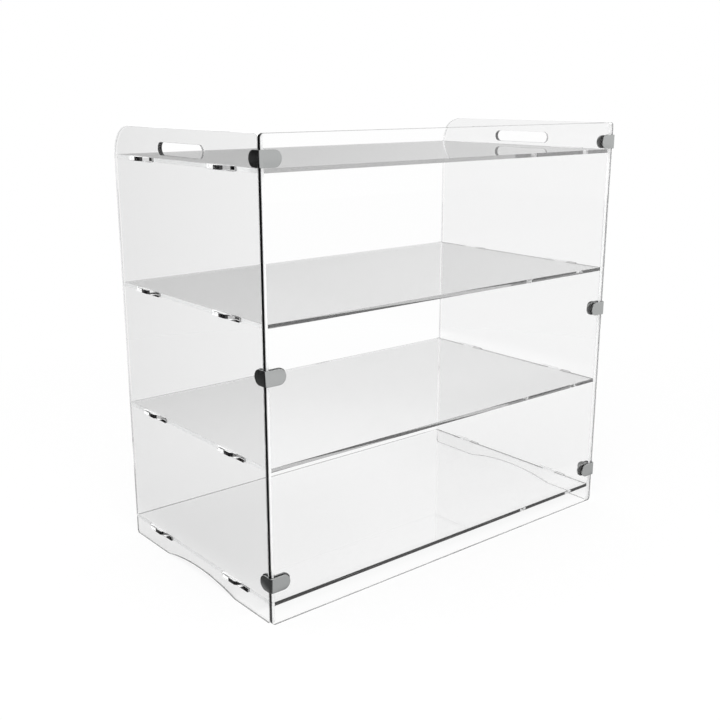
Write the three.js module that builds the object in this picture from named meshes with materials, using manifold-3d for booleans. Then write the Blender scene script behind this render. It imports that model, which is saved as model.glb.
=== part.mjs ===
// A countertop display cabinet of clear acrylic sheet, sold flat and put together by hand.
//
// Two side panels carry four shelves, whose tabs stand in keyhole slots. A front panel covers
// the side panels' front edges and is held to them by six metal corner clamps. The back is open.
//
// Lengths are in millimetres. X runs across the cabinet, Y from its front to its back and Z up.
// Places along Y are measured from the front panel's front face, until the whole cabinet is
// moved so that the middle of its footprint is the origin.
import * as THREE from "three";
import { mergeVertices } from "three/addons/utils/BufferGeometryUtils.js";
import Module from "manifold-3d";

// Overall size, over the outer faces of the panels.
const WIDTH = 600;
const DEPTH = 341.3;
const HEIGHT = 573.5;

// The sheet stock, and the gap between a sheet's edge and the face that it butts against.
const PANEL_SHEET = 6;
const SHELF_SHEET = 5;
const SHEET_GAP = 0.3;

// Corner radii of the panels.
const FRONT_CORNER = 5;
const SIDE_CORNER = 4;
const REAR_TOP_CORNER = 40;

// The feet that the arch in the bottom edge leaves on a side panel.
const FRONT_FOOT = 77.7;
const REAR_FOOT = 89.3;
const ARCH_RISE = 10;
const ARCH_EASE = 20;

// Shelf levels, from the counter to the bottom shelf's top and from the top shelf to the rim.
const SHELF_NAMES = ["bottom", "lower", "upper", "top"];
const PLINTH = 28;
const TOP_LIP = 37;

// The hand slot near the top of a side panel, its centre measured down from the rim.
const HAND_SLOT_LENGTH = 104;
const HAND_SLOT_HEIGHT = 15.6;
const HAND_SLOT_DROP = 24.7;

// A shelf's tabs, and how far the shelf slides back before they meet the end of their slots.
const TAB_LENGTH = 27;
const TAB_CORNER = 1;
const SHELF_TRAVEL = 16.5;
const STOP_CLEARANCE = 0.5;
const TAB_CLEARANCE = 0.3;

// A keyhole slot: a narrow tail at its front that grips the tab, and a tall head behind it.
const TAIL_LENGTH = 27;
const TAIL_CORNER = 1;
const HEAD_HEIGHT = 12;
const HEAD_SPARE = 5;
const HEAD_CORNER = 4;
const FRONT_SLOT_INSET = 45.7;
const REAR_SLOT_INSET = 42.3;

// Where the clamps sit: the outer angle's clearance over the top shelf, the lowest clamp's
// centre over the bottom shelf, and the middle one's place between those two.
const CLAMP_OVER_TOP_SHELF = 1;
const CLAMP_OVER_BOTTOM_SHELF = 25;
const MIDDLE_CLAMP_share = 0.513;

// A clamp's angles and pads. Legs are measured from the panels' outer corner to their ends.
const CLAMP_HEIGHT = 19;
const FRONT_LEG = 25.5;
const SIDE_LEG = 20.2;
const OUTER_PLATE = 2;
const OUTER_BEND = 4;
const INNER_STEP = 0.75;
const INNER_REACH = 3.4;
const INNER_PLATE = 2.4;
const INNER_BEND = 1.5;
const PAD_SHEET = 0.5;
const SEAT_GAP = 0.1;

// The threaded bosses on an outer angle, and the screws that are driven into them from inside.
const BOSS_INSET = 5.5;
const BOSS_DIAMETER = 5.6;
const BOSS_CLEARANCE = 0.3;
const BOSS_SHORTFALL = 0.5;
const SCREW_DIAMETER = 3;
const SCREW_CLEARANCE = 0.3;
const THREAD_GRIP = 4.5;
const TIP_CLEARANCE = 0.5;
const TIP_CHAMFER = 0.5;
const SCREW_HEAD_DIAMETER = 6;
const SCREW_HEAD_HEIGHT = 1.9;
const SCREW_HEAD_RIM = 0.5;
const SOCKET_ACROSS_CORNERS = 2.3;
const SOCKET_DEPTH = 1.1;

// How far a chord may lie inside its arc, when two points count as one, and how far a cutting
// body runs past what it cuts.
const CHORD_ERROR = 0.09;
const SAME_POINT = 0.001;
const OVERRUN = 5;

// Places that several pieces share.
const SIDE_PANEL_FRONT = PANEL_SHEET + SHEET_GAP;
const INNER_HALF_WIDTH = WIDTH / 2 - PANEL_SHEET;
const HEAD_LENGTH = TAB_LENGTH + HEAD_SPARE;
const SLOT_LENGTH = TAIL_LENGTH + HEAD_LENGTH;
const SLOT_FRONTS = [SIDE_PANEL_FRONT + FRONT_SLOT_INSET, DEPTH - REAR_SLOT_INSET - SLOT_LENGTH];
const TOP_SHELF_TOP = HEIGHT - TOP_LIP;
const SHELF_PITCH = (TOP_SHELF_TOP - PLINTH) / (SHELF_NAMES.length - 1);
const SHELF_TOPS = SHELF_NAMES.map((_, level) => PLINTH + level * SHELF_PITCH);
const TOP_CLAMP_Z = TOP_SHELF_TOP + CLAMP_OVER_TOP_SHELF + CLAMP_HEIGHT / 2;
const BOTTOM_CLAMP_Z = PLINTH + CLAMP_OVER_BOTTOM_SHELF;
const CLAMP_LEVELS = {
  bottom: BOTTOM_CLAMP_Z,
  middle: THREE.MathUtils.lerp(BOTTOM_CLAMP_Z, TOP_CLAMP_Z, MIDDLE_CLAMP_share),
  top: TOP_CLAMP_Z,
};
const FRONT_BOSS = FRONT_LEG - BOSS_INSET;
const SIDE_BOSS = SIDE_LEG - BOSS_INSET;
const BOSS_HOLE_RADIUS = BOSS_DIAMETER / 2 + BOSS_CLEARANCE;
const SCREW_HOLE_RADIUS = SCREW_DIAMETER / 2 + SCREW_CLEARANCE;
const INNER_CLAMP_HEIGHT = CLAMP_HEIGHT - 2 * INNER_STEP;

// How far the faces of a clamp's layers lie from the panels' outer faces, from outside to inside.
const OUTER_PAD_FACE = -SEAT_GAP - PAD_SHEET;
const OUTER_PLATE_FACE = OUTER_PAD_FACE - SEAT_GAP - OUTER_PLATE;
const INNER_PAD_FACE = PANEL_SHEET + SEAT_GAP;
const INNER_PLATE_FACE = INNER_PAD_FACE + PAD_SHEET + SEAT_GAP;
const SCREW_SEAT = INNER_PLATE_FACE + INNER_PLATE + SEAT_GAP;

// Turns a flat outline in X and Y upright: across the cabinet with its thickness towards the
// front, or along it with its thickness towards the right.
const ACROSS = new THREE.Matrix4().makeBasis(
  new THREE.Vector3(1, 0, 0),
  new THREE.Vector3(0, 0, 1),
  new THREE.Vector3(0, -1, 0),
);
const ALONG = new THREE.Matrix4().makeBasis(
  new THREE.Vector3(0, 1, 0),
  new THREE.Vector3(0, 0, 1),
  new THREE.Vector3(1, 0, 0),
);

const wasm = await Module();
wasm.setup();

// Materials. Each mesh gets its own copy.
function clearAcrylic() {
  return new THREE.MeshStandardMaterial({
    color: 0xf1f6f6,
    roughness: 0.04,
    metalness: 0,
    transparent: true,
    opacity: 0.3,
  });
}

function satinMetal() {
  return new THREE.MeshStandardMaterial({ color: 0xb4b6b6, roughness: 0.28, metalness: 1 });
}

function softPad() {
  return new THREE.MeshStandardMaterial({ color: 0x1c1d1e, roughness: 0.8, metalness: 0 });
}

function screwSteel() {
  return new THREE.MeshStandardMaterial({ color: 0x8f9294, roughness: 0.35, metalness: 1 });
}

// Number of straight steps that an arc of this angle needs.
function arcSteps(radius, angle) {
  const step = 2 * Math.acos(1 - Math.min(1, CHORD_ERROR / radius));
  return Math.max(2, Math.ceil(angle / step));
}

// Closed outline through corners given as [x, y, radius], with each corner rounded by its radius.
// A radius that its neighbours leave no room for is made as large as fits.
function roundedOutline(corners) {
  const points = [];
  const push = (point) => {
    if (!points.length || points.at(-1).distanceTo(point) > SAME_POINT) points.push(point);
  };
  corners.forEach(([x, y, wanted], index) => {
    const corner = new THREE.Vector2(x, y);
    const [beforeX, beforeY] = corners.at(index - 1);
    const [afterX, afterY] = corners[(index + 1) % corners.length];
    const before = new THREE.Vector2(beforeX, beforeY).sub(corner);
    const after = new THREE.Vector2(afterX, afterY).sub(corner);
    const half = before.angleTo(after) / 2;
    const room = Math.min(before.length(), after.length()) / 2;
    const radius = Math.min(wanted, room * Math.tan(half));
    if (radius <= SAME_POINT) {
      push(corner);
      return;
    }
    const turn = Math.sign(after.cross(before)) * (Math.PI - 2 * half);
    const middle = before.clone().normalize().add(after.clone().normalize()).normalize();
    const centre = middle.multiplyScalar(radius / Math.sin(half)).add(corner);
    const start = before.clone().setLength(radius / Math.tan(half)).add(corner);
    const steps = arcSteps(radius, Math.abs(turn));
    for (let step = 0; step <= steps; step += 1) {
      push(start.clone().rotateAround(centre, (turn * step) / steps));
    }
  });
  if (points.length > 1 && points[0].distanceTo(points.at(-1)) <= SAME_POINT) points.pop();
  return points;
}

// Rounded rectangle between two opposite corners.
function rectangle(left, bottom, right, top, radius) {
  return roundedOutline([
    [left, bottom, radius],
    [right, bottom, radius],
    [right, top, radius],
    [left, top, radius],
  ]);
}

function circle(x, y, radius) {
  const sides = arcSteps(radius, 2 * Math.PI);
  return Array.from({ length: sides }, (_, side) => {
    const angle = (2 * Math.PI * side) / sides;
    return new THREE.Vector2(x + radius * Math.cos(angle), y + radius * Math.sin(angle));
  });
}

// Flat sheet with the given outline, holes and thickness.
function cutSheet(outline, holes, thickness) {
  const shape = new THREE.Shape(outline);
  holes.forEach((hole) => shape.holes.push(new THREE.Path(hole)));
  return new THREE.ExtrudeGeometry(shape, { depth: thickness, bevelEnabled: false });
}

// Solid for joining and cutting, from a closed geometry.
function toSolid(geometry) {
  const bare = geometry.clone();
  bare.deleteAttribute("normal");
  bare.deleteAttribute("uv");
  const merged = mergeVertices(bare, SAME_POINT);
  return new wasm.Manifold(
    new wasm.Mesh({
      numProp: 3,
      vertProperties: merged.attributes.position.array,
      triVerts: new Uint32Array(merged.index.array),
    }),
  );
}

function toGeometry(solid) {
  const mesh = solid.getMesh();
  const geometry = new THREE.BufferGeometry();
  geometry.setAttribute("position", new THREE.BufferAttribute(mesh.vertProperties, 3));
  geometry.setIndex(new THREE.BufferAttribute(mesh.triVerts, 1));
  geometry.computeVertexNormals();
  return geometry;
}

function namedMesh(name, geometry, material) {
  const mesh = new THREE.Mesh(geometry, material);
  mesh.name = name;
  return mesh;
}

// Keyhole slot through a side panel at a shelf's mid height, seen with Y to the right and Z up.
function keyholeOutline(front, z) {
  const tail = SHELF_SHEET / 2 + TAB_CLEARANCE;
  const head = HEAD_HEIGHT / 2;
  const step = front + TAIL_LENGTH;
  const rear = front + SLOT_LENGTH;
  return roundedOutline([
    [front, z - tail, TAIL_CORNER],
    [step, z - tail, TAIL_CORNER],
    [step, z - head, HEAD_CORNER],
    [rear, z - head, HEAD_CORNER],
    [rear, z + head, HEAD_CORNER],
    [step, z + head, HEAD_CORNER],
    [step, z + tail, TAIL_CORNER],
    [front, z + tail, TAIL_CORNER],
  ]);
}

// Points along the arch between a side panel's feet, from front to back.
function archCorners() {
  const front = SIDE_PANEL_FRONT + FRONT_FOOT;
  const rear = DEPTH - REAR_FOOT;
  const halfChord = (rear - front) / 2;
  const radius = (halfChord ** 2 + ARCH_RISE ** 2) / (2 * ARCH_RISE);
  const halfAngle = Math.asin(halfChord / radius);
  const steps = arcSteps(radius, 2 * halfAngle);
  return Array.from({ length: steps + 1 }, (_, step) => {
    const angle = THREE.MathUtils.lerp(-halfAngle, halfAngle, step / steps);
    const y = (front + rear) / 2 + radius * Math.sin(angle);
    const z = ARCH_RISE - radius * (1 - Math.cos(angle));
    return [y, z, ARCH_EASE];
  });
}

// A side panel's sheet, seen with Y to the right and Z up.
function sidePanelGeometry() {
  const outline = roundedOutline([
    [SIDE_PANEL_FRONT, 0, SIDE_CORNER],
    ...archCorners(),
    [DEPTH, 0, SIDE_CORNER],
    [DEPTH, HEIGHT, REAR_TOP_CORNER],
    [SIDE_PANEL_FRONT, HEIGHT, SIDE_CORNER],
  ]);
  const handSlotZ = HEIGHT - HAND_SLOT_DROP;
  const handSlot = rectangle(
    (DEPTH - HAND_SLOT_LENGTH) / 2,
    handSlotZ - HAND_SLOT_HEIGHT / 2,
    (DEPTH + HAND_SLOT_LENGTH) / 2,
    handSlotZ + HAND_SLOT_HEIGHT / 2,
    HAND_SLOT_HEIGHT / 2,
  );
  const keyholes = SHELF_TOPS.flatMap((top) =>
    SLOT_FRONTS.map((front) => keyholeOutline(front, top - SHELF_SHEET / 2)),
  );
  const bossHoles = Object.values(CLAMP_LEVELS).map((z) =>
    circle(SIDE_BOSS, z, BOSS_HOLE_RADIUS),
  );
  return cutSheet(outline, [handSlot, ...keyholes, ...bossHoles], PANEL_SHEET);
}

function sidePanel(name, side) {
  const mesh = namedMesh(`side_panel_${name}`, sidePanelGeometry(), clearAcrylic());
  mesh.setRotationFromMatrix(ALONG);
  mesh.position.x = Math.min(side * (WIDTH / 2), side * INNER_HALF_WIDTH);
  return mesh;
}

function frontPanel() {
  const outline = rectangle(-WIDTH / 2, 0, WIDTH / 2, HEIGHT, FRONT_CORNER);
  const bossHoles = Object.values(CLAMP_LEVELS).flatMap((z) =>
    [-1, 1].map((side) => circle(side * (WIDTH / 2 - FRONT_BOSS), z, BOSS_HOLE_RADIUS)),
  );
  const mesh = namedMesh("front_panel", cutSheet(outline, bossHoles, PANEL_SHEET), clearAcrylic());
  mesh.setRotationFromMatrix(ACROSS);
  mesh.position.y = PANEL_SHEET;
  return mesh;
}

// Corners of one long edge of a shelf, with its tabs, from front to back.
function shelfEdge(side) {
  const edge = side * (INNER_HALF_WIDTH - SHEET_GAP);
  const tip = side * (WIDTH / 2);
  const tabs = SLOT_FRONTS.flatMap((front) => {
    const tabRear = front + SLOT_LENGTH - STOP_CLEARANCE - SHELF_TRAVEL;
    const tabFront = tabRear - TAB_LENGTH;
    return [
      [edge, tabFront, 0],
      [tip, tabFront, TAB_CORNER],
      [tip, tabRear, TAB_CORNER],
      [edge, tabRear, 0],
    ];
  });
  return [[edge, SIDE_PANEL_FRONT, 0], ...tabs, [edge, DEPTH, 0]];
}

function shelf(name, top) {
  const outline = roundedOutline([...shelfEdge(1), ...shelfEdge(-1).reverse()]);
  const mesh = namedMesh(`shelf_${name}`, cutSheet(outline, [], SHELF_SHEET), clearAcrylic());
  mesh.position.z = top - SHELF_SHEET;
  return mesh;
}

// An angle bent round a corner of the cabinet, in the clamp's own axes: its origin is the panels'
// outer corner, and it reaches inwards by -side along X and backwards along Y. The legs' free
// ends are full round. face is where its outer faces lie.
function angleSolid({ side, face, sheet, frontEnd, sideEnd, height, outerBend, innerBend }) {
  const plan = roundedOutline([
    [-side * face, face, outerBend],
    [-side * frontEnd, face, 0],
    [-side * frontEnd, face + sheet, 0],
    [-side * (face + sheet), face + sheet, innerBend],
    [-side * (face + sheet), sideEnd, 0],
    [-side * face, sideEnd, 0],
  ]);
  const bar = cutSheet(plan, [], height).translate(0, 0, -height / 2);

  // The outline of a leg as seen square on: square at the corner, full round at the end.
  const silhouette = (sign, end) =>
    roundedOutline([
      [sign * (face - OVERRUN), -height / 2, 0],
      [sign * end, -height / 2, height / 2],
      [sign * end, height / 2, height / 2],
      [sign * (face - OVERRUN), height / 2, 0],
    ]);
  const frontDepth = sideEnd - face + 2 * OVERRUN;
  const front = cutSheet(silhouette(-side, frontEnd), [], frontDepth)
    .translate(0, 0, -sideEnd - OVERRUN)
    .applyMatrix4(ACROSS);
  const sideDepth = 2 * (frontEnd - face + OVERRUN);
  const sideways = cutSheet(silhouette(1, sideEnd), [], sideDepth)
    .translate(0, 0, -sideDepth / 2)
    .applyMatrix4(ALONG);
  return toSolid(bar).intersect(toSolid(front)).intersect(toSolid(sideways));
}

// Round bars on both screw axes of a clamp, from one distance behind the panels' outer faces to
// another.
function screwBars(side, radius, from, to) {
  const bar = new THREE.CylinderGeometry(radius, radius, to - from, arcSteps(radius, 2 * Math.PI));
  const middle = (from + to) / 2;
  const front = bar.clone().translate(-side * FRONT_BOSS, middle, 0);
  const sideways = bar.clone().rotateZ((side * Math.PI) / 2).translate(-side * middle, SIDE_BOSS, 0);
  return toSolid(front).add(toSolid(sideways));
}

// Button-head screw with a hexagon socket, along Y with its head towards +Y and seated at zero.
function screwGeometry() {
  const tip = PANEL_SHEET - BOSS_SHORTFALL - THREAD_GRIP - SCREW_SEAT;
  const shank = SCREW_DIAMETER / 2;
  const rim = SCREW_HEAD_DIAMETER / 2;
  const dome = new THREE.QuadraticBezierCurve(
    new THREE.Vector2(rim, SCREW_HEAD_RIM),
    new THREE.Vector2(rim, SCREW_HEAD_HEIGHT),
    new THREE.Vector2(shank, SCREW_HEAD_HEIGHT),
  );
  const profile = [
    new THREE.Vector2(0, tip),
    new THREE.Vector2(shank - TIP_CHAMFER, tip),
    new THREE.Vector2(shank, tip + TIP_CHAMFER),
    new THREE.Vector2(shank, 0),
    new THREE.Vector2(rim, 0),
    ...dome.getPoints(3),
    new THREE.Vector2(0, SCREW_HEAD_HEIGHT),
  ];
  const body = new THREE.LatheGeometry(profile, arcSteps(rim, 2 * Math.PI));
  const socketRadius = SOCKET_ACROSS_CORNERS / 2;
  const socketDepth = SOCKET_DEPTH + OVERRUN;
  const socket = new THREE.CylinderGeometry(socketRadius, socketRadius, socketDepth, 6);
  socket.translate(0, SCREW_HEAD_HEIGHT - SOCKET_DEPTH + socketDepth / 2, 0);
  return toGeometry(toSolid(body).subtract(toSolid(socket)));
}

// The six pieces of one corner clamp, in a group at the panels' outer corner.
function clamp(sideName, side, levelName, z) {
  const prefix = `clamp_${sideName}_${levelName}`;
  const outerShape = {
    side,
    frontEnd: FRONT_LEG,
    sideEnd: SIDE_LEG,
    height: CLAMP_HEIGHT,
  };
  const innerShape = {
    side,
    frontEnd: FRONT_LEG + INNER_REACH,
    sideEnd: SIDE_LEG + INNER_REACH,
    height: INNER_CLAMP_HEIGHT,
  };

  const bossEnd = PANEL_SHEET - BOSS_SHORTFALL;
  const boreFloor = bossEnd - THREAD_GRIP - TIP_CLEARANCE;
  const outerPlate = angleSolid({
    ...outerShape,
    face: OUTER_PLATE_FACE,
    sheet: OUTER_PLATE,
    outerBend: OUTER_BEND,
    innerBend: 0,
  });
  const bosses = screwBars(side, BOSS_DIAMETER / 2, OUTER_PLATE_FACE + OUTER_PLATE / 2, bossEnd);
  const bores = screwBars(side, SCREW_HOLE_RADIUS, boreFloor, bossEnd + OVERRUN);
  const outerAngle = outerPlate.add(bosses).subtract(bores);

  const outerPad = angleSolid({
    ...outerShape,
    face: OUTER_PAD_FACE,
    sheet: PAD_SHEET,
    outerBend: 0,
    innerBend: 0,
  }).subtract(screwBars(side, BOSS_HOLE_RADIUS, OUTER_PAD_FACE - SEAT_GAP, 0));

  const screwHoles = screwBars(side, SCREW_HOLE_RADIUS, PANEL_SHEET, SCREW_SEAT);
  const innerPad = angleSolid({
    ...innerShape,
    face: INNER_PAD_FACE,
    sheet: PAD_SHEET,
    outerBend: 0,
    innerBend: 0,
  }).subtract(screwHoles);
  const innerAngle = angleSolid({
    ...innerShape,
    face: INNER_PLATE_FACE,
    sheet: INNER_PLATE,
    outerBend: 0,
    innerBend: INNER_BEND,
  }).subtract(screwHoles);

  const frontScrew = namedMesh(`${prefix}_front_screw`, screwGeometry(), screwSteel());
  frontScrew.position.set(-side * FRONT_BOSS, SCREW_SEAT, 0);
  const sideScrew = namedMesh(`${prefix}_side_screw`, screwGeometry(), screwSteel());
  sideScrew.rotation.z = (side * Math.PI) / 2;
  sideScrew.position.set(-side * SCREW_SEAT, SIDE_BOSS, 0);

  const group = new THREE.Group();
  group.position.set(side * (WIDTH / 2), 0, z);
  group.add(
    namedMesh(`${prefix}_outer_angle`, toGeometry(outerAngle), satinMetal()),
    namedMesh(`${prefix}_outer_pad`, toGeometry(outerPad), softPad()),
    namedMesh(`${prefix}_inner_pad`, toGeometry(innerPad), softPad()),
    namedMesh(`${prefix}_inner_angle`, toGeometry(innerAngle), satinMetal()),
    frontScrew,
    sideScrew,
  );
  return group;
}

const assembly = new THREE.Group();
assembly.position.y = -(DEPTH + OUTER_PLATE_FACE) / 2;
assembly.add(frontPanel());
Object.entries({ left: -1, right: 1 }).forEach(([sideName, side]) => {
  assembly.add(sidePanel(sideName, side));
  Object.entries(CLAMP_LEVELS).forEach(([levelName, z]) => {
    assembly.add(clamp(sideName, side, levelName, z));
  });
});
SHELF_NAMES.forEach((name, level) => assembly.add(shelf(name, SHELF_TOPS[level])));

const cabinet = new THREE.Group();
cabinet.add(assembly);

export default cabinet;
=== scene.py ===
"""Looks of a clear acrylic countertop display cabinet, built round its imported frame.

The cabinet is a front panel and two side panels, joined by six metal corner clamps, with four
shelves whose hooked tabs reach out through slots in the side panels. Lengths in the cabinet's
classes are in millimetres, measured as in the CAD source: inwards and backwards from the panels'
outer faces, and up from the counter. Places in the studio are in metres.
"""

import logging
import math
from collections.abc import Callable, Mapping, Sequence
from dataclasses import dataclass, field, replace
from enum import Enum

import bmesh
import bpy
import numpy as np
from mathutils.geometry import tessellate_polygon
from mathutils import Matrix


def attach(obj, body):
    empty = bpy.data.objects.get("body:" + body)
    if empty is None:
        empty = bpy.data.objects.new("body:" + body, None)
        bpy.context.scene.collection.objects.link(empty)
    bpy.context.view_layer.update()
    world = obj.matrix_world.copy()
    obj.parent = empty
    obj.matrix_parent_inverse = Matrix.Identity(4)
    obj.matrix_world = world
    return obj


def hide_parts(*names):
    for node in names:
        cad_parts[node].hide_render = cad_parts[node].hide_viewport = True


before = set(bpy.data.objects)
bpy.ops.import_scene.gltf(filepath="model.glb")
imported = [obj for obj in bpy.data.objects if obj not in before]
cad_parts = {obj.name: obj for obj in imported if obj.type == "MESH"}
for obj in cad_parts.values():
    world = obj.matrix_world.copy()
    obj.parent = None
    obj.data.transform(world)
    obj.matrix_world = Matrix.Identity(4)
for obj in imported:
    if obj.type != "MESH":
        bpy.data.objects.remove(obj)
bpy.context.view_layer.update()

LOG = logging.getLogger("display_cabinet")
MM = 0.001

# The cabinet's sizes, as in the CAD source.
WIDTH = 600.0
DEPTH = 341.3
HEIGHT = 573.5
PANEL_SHEET = 6.0
SHELF_SHEET = 5.0
SHEET_GAP = 0.3
FRONT_FACE_Y = -169.3
SIDE_PANEL_FRONT = PANEL_SHEET + SHEET_GAP
SLOT_LENGTH = 59.0
SLOT_FRONTS = (52.0, 240.0)
SHELF_TOPS = {"bottom": 28.0, "lower": 197.5, "upper": 367.0, "top": 536.5}
CLAMP_LEVELS = {"bottom": 53.0, "middle": 306.422, "top": 547.0}
FRONT_BOSS = 20.0
SIDE_BOSS = 14.7
BOSS_RADIUS = 2.8
BOSS_HOLE_RADIUS = 3.1

# How near the middle of a stretch of outline lies to a feature, or to a line, that it is part of.
NEAR = 1.0
ON_LINE = 0.01

# Straight steps in a corner's arc, in a round end and in a whole circle, and the shortest kept.
CORNER_STEPS = 8
END_STEPS = 20
CIRCLE_SIDES = 48
SHORTEST_STEP = 1e-4
TINY = 1e-9

# How finely a noise is broken up.
SOFT_DETAIL = 2.0
FINE_DETAIL = 3.0

Span = tuple[float, float]
Band = tuple[Span, Span]
Triple = tuple[float, float, float]

WHITE: Triple = (1.0, 1.0, 1.0)
BLACK: Triple = (0.0, 0.0, 0.0)


class Side(Enum):
    """The cabinet's two sides, with the sign that each has along X."""

    LEFT = -1
    RIGHT = 1

    @property
    def word(self) -> str:
        """The side's name as it stands in the names of nodes."""
        return self.name.lower()


class Patch(Enum):
    """Which of a piece's finishes a patch of its surface takes."""

    FACE = 0
    EDGE = 1
    SAWN = 2
    # Painted shade: edges made nearly black where clear sheet shows dark.
    DARK = 3


# Shader nodes


class Value:
    """A number that varies over a surface. Python's operators on it add Math nodes."""

    def __init__(self, sheet: "NodeSheet", socket: bpy.types.NodeSocket) -> None:
        """Wraps an output socket of a node sheet."""
        self.sheet = sheet
        self.socket = socket

    def _math(self, operation: str, *values: "Value | float") -> "Value":
        """Adds one Math node on these values."""
        node = self.sheet.node("ShaderNodeMath", {"operation": operation}, dict(enumerate(values)))
        return Value(self.sheet, node.outputs[0])

    def __add__(self, other: "Value | float") -> "Value":
        """Sum."""
        return self._math("ADD", self, other)

    def __sub__(self, other: "Value | float") -> "Value":
        """Difference."""
        return self._math("SUBTRACT", self, other)

    def __rsub__(self, other: "Value | float") -> "Value":
        """Difference from a number on the left."""
        return self._math("SUBTRACT", other, self)

    def __mul__(self, other: "Value | float") -> "Value":
        """Product."""
        return self._math("MULTIPLY", self, other)

    __radd__ = __add__
    __rmul__ = __mul__

    def above(self, other: "Value | float") -> "Value":
        """1 where this is more than the other, else 0."""
        return self._math("GREATER_THAN", self, other)

    def rise(self, start: float, end: float) -> "Value":
        """Smooth climb from 0 to 1.

        Args:
            start: Where the climb starts.
            end: Where it ends.

        Returns:
            The climb, which stays 0 before its start and 1 past its end.
        """
        settings = {"interpolation_type": "SMOOTHSTEP"}
        inputs = {"Value": self, "From Min": start, "From Max": end}
        return Value(self.sheet, self.sheet.node("ShaderNodeMapRange", settings, inputs).outputs[0])

    def band(self, up: Span, down: Span) -> "Value":
        """Smooth climb from 0 to 1 over the first span, and fall back to 0 over the second."""
        return self.rise(*up) * (1.0 - self.rise(*down))


class NodeSheet:
    """The nodes of one material or of the world."""

    def __init__(self, owner: bpy.types.Material | bpy.types.World) -> None:
        """Takes over the owner's node tree and empties it.

        Args:
            owner: The material or the world.
        """
        owner.use_nodes = True
        self.tree = owner.node_tree
        self.tree.nodes.clear()

    def node(
        self,
        kind: str,
        settings: Mapping[str, object] | None = None,
        inputs: Mapping[str | int, object] | None = None,
    ) -> bpy.types.Node:
        """Adds a node of any kind.

        Args:
            kind: The node's type.
            settings: Its properties, which are set first.
            inputs: What its sockets take, by name or number: a value, a socket or a Value.

        Returns:
            The node.
        """
        made = self.tree.nodes.new(kind)
        for name, setting in (settings or {}).items():
            setattr(made, name, setting)
        for key, value in (inputs or {}).items():
            self.feed(made.inputs[key], value)
        return made

    def feed(self, socket: bpy.types.NodeSocket, value: object) -> None:
        """Links a socket or a Value to a socket, or sets its number or colour.

        Args:
            socket: The input.
            value: What it takes.
        """
        if isinstance(value, Value):
            self.tree.links.new(value.socket, socket)
        elif isinstance(value, bpy.types.NodeSocket):
            self.tree.links.new(value, socket)
        elif socket.type == "RGBA":
            socket.default_value = (*value, 1.0)
        else:
            socket.default_value = value

    def value(self, socket: bpy.types.NodeSocket) -> Value:
        """Wraps an output socket for use in expressions."""
        return Value(self, socket)

    def noise(self, scale: float | Triple, detail: float = SOFT_DETAIL) -> Value:
        """Soft noise on Object coordinates.

        Args:
            scale: How many cells it has to the metre, in all directions or along each axis.
            detail: How finely it is broken up.

        Returns:
            The noise, from 0 to 1.
        """
        coordinates = self.node("ShaderNodeTexCoord").outputs["Object"]
        scales = {"Vector": coordinates, "Scale": np.broadcast_to(scale, 3).tolist()}
        mapping = self.node("ShaderNodeMapping", None, scales)
        inputs = {"Vector": mapping.outputs[0], "Scale": 1.0, "Detail": detail}
        return self.value(self.node("ShaderNodeTexNoise", None, inputs).outputs[0])

    def axes(self, coordinates: str) -> list[Value]:
        """Splits one of the Texture Coordinate node's outputs.

        Args:
            coordinates: The output's name.

        Returns:
            Its three axes.
        """
        place = self.node("ShaderNodeTexCoord").outputs[coordinates]
        parts = self.node("ShaderNodeSeparateXYZ", None, {0: place})
        return [self.value(socket) for socket in parts.outputs]

    def met(self, kind: str, depth: int) -> Value:
        """1 for rays that have met more than this many surfaces of a kind, else 0."""
        return self.value(self.node("ShaderNodeLightPath").outputs[f"{kind} Depth"]).above(depth)

    def blend(self, share: Value, first: Triple, second: Triple) -> bpy.types.NodeSocket:
        """Mixes two colours.

        Args:
            share: How much the second one has.
            first: The colour where the share is 0.
            second: The colour where the share is 1.

        Returns:
            The mixed colour.
        """
        mix = self.node("ShaderNodeMix", {"data_type": "RGBA"})
        sockets = {each.identifier: each for each in mix.inputs}
        self.feed(sockets["Factor_Float"], share)
        self.feed(sockets["A_Color"], first)
        self.feed(sockets["B_Color"], second)
        return {each.identifier: each for each in mix.outputs}["Result_Color"]

    def bump(self, height: Value, distance: float, strength: float) -> bpy.types.NodeSocket:
        """Normal that tilts as if the surface rose by height times distance, in metres."""
        inputs = {"Height": height, "Distance": distance, "Strength": strength}
        return self.node("ShaderNodeBump", None, inputs).outputs[0]


# Finishes


@dataclass(frozen=True)
class Finish:
    """One finish, on a Principled surface whose inputs each kind of finish gives."""

    name: str

    def inputs(self, sheet: NodeSheet) -> dict[str, object]:
        """What the Principled node takes."""
        raise NotImplementedError

    def ends(self, sheet: NodeSheet) -> dict[str, object]:
        """What the material's output takes: the surface alone."""
        surface = sheet.node("ShaderNodeBsdfPrincipled", None, self.inputs(sheet))
        return {"Surface": surface.outputs[0]}

    def material(self) -> bpy.types.Material:
        """Makes the material.

        Returns:
            The material, under the finish's name.
        """
        made = bpy.data.materials.new(self.name)
        sheet = NodeSheet(made)
        sheet.node("ShaderNodeOutputMaterial", None, self.ends(sheet))
        return made


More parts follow.
